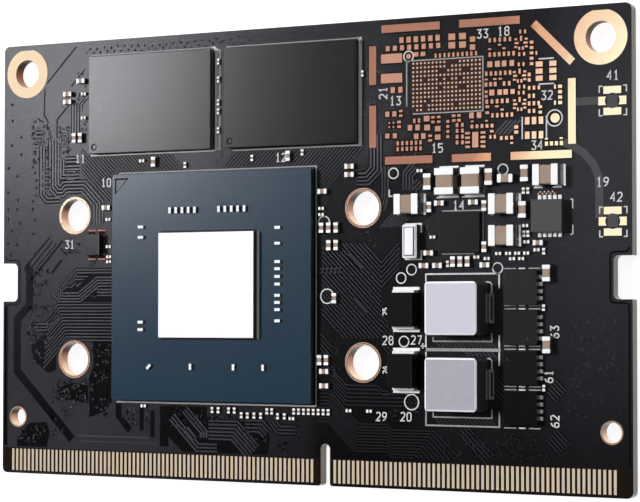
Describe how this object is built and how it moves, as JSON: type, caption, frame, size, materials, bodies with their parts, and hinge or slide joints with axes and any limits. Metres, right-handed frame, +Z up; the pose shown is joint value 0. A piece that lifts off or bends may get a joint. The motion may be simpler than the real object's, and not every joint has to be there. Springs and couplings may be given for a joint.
{
  "type": "system on module",
  "caption": "Flat computer module: black circuit board with a bare-die processor, memory chips, power parts, bare radio lands, and a gold card-edge connector with key slot and latch notches.",
  "frame": {"origin": "below the middle of the card, on the surface that the module lies on", "axes": "+X along the contact edge, +Y from the contact edge to the far edge, +Z up from the processor side"},
  "size_m": [0.0696, 0.045, 0.005],
  "materials": {
    "solder_mask": "black solder mask over fine traces, semi-gloss",
    "contact_gold": "gold-plated copper, satin",
    "bare_copper": "thinly plated copper lands, satin",
    "substrate_laminate": "blue-grey package laminate, satin",
    "die_silicon": "polished back of the silicon die",
    "mould_compound": "fine-grained black moulding compound",
    "capacitor_ceramic": "fired tan ceramic, satin",
    "powder_core": "pressed metal-powder core with a pale coated top",
    "crystal_ceramic": "white ceramic, satin",
    "crystal_metal": "plated lid, satin",
    "solder_tin": "bright tin and solder"
  },
  "bodies": {
    "root": {"circuit_board": "solder_mask", "long_contact_row_top": "contact_gold", "short_contact_row_top": "contact_gold", "long_contact_row_underside": "contact_gold", "short_contact_row_underside": "contact_gold", "corner_hole_plating": "contact_gold", "cooler_hole_plating": "contact_gold", "guide_hole_plating": "contact_gold", "shield_frame_lands": "bare_copper", "radio_chip_lands": "bare_copper", "radio_part_lands": "bare_copper", "antenna_socket_lands": "contact_gold", "processor_substrate": "substrate_laminate", "processor_die": "die_silicon", "die_underfill": "mould_compound", "processor_ball_grid": "solder_tin", "processor_capacitor_bodies": "capacitor_ceramic", "processor_capacitor_ends": "solder_tin", "memory_chip_left": "mould_compound", "memory_chip_right": "mould_compound", "memory_ball_grid_left": "solder_tin", "memory_ball_grid_right": "solder_tin", "power_manager_chip": "mould_compound", "power_manager_ball_grid": "solder_tin", "regulator_chip": "mould_compound", "regulator_pins": "solder_tin", "transistor_1": "mould_compound", "transistor_2": "mould_compound", "transistor_3": "mould_compound", "transistor_4": "mould_compound", "transistor_pins": "solder_tin", "inductor_upper": "powder_core", "inductor_lower": "powder_core", "inductor_leads_upper": "solder_tin", "inductor_leads_lower": "solder_tin", "bulk_capacitor_upper": "mould_compound", "bulk_capacitor_lower": "mould_compound", "bulk_capacitor_leads_upper": "solder_tin", "bulk_capacitor_leads_lower": "solder_tin", "oscillator_can": "mould_compound", "oscillator_pads": "bare_copper", "crystal_base": "crystal_ceramic", "crystal_lid": "crystal_metal", "crystal_pads": "solder_tin", "large_capacitor_bodies": "capacitor_ceramic", "large_capacitor_ends": "solder_tin", "medium_capacitor_bodies": "capacitor_ceramic", "medium_capacitor_ends": "solder_tin", "small_capacitor_bodies": "capacitor_ceramic", "small_capacitor_ends": "solder_tin", "tiny_part_bodies": "capacitor_ceramic", "tiny_part_ends": "solder_tin", "flash_chip": "mould_compound", "flash_ball_grid": "solder_tin", "underside_capacitor_bodies": "capacitor_ceramic", "underside_capacitor_ends": "solder_tin"}
  },
  "joints": []
}
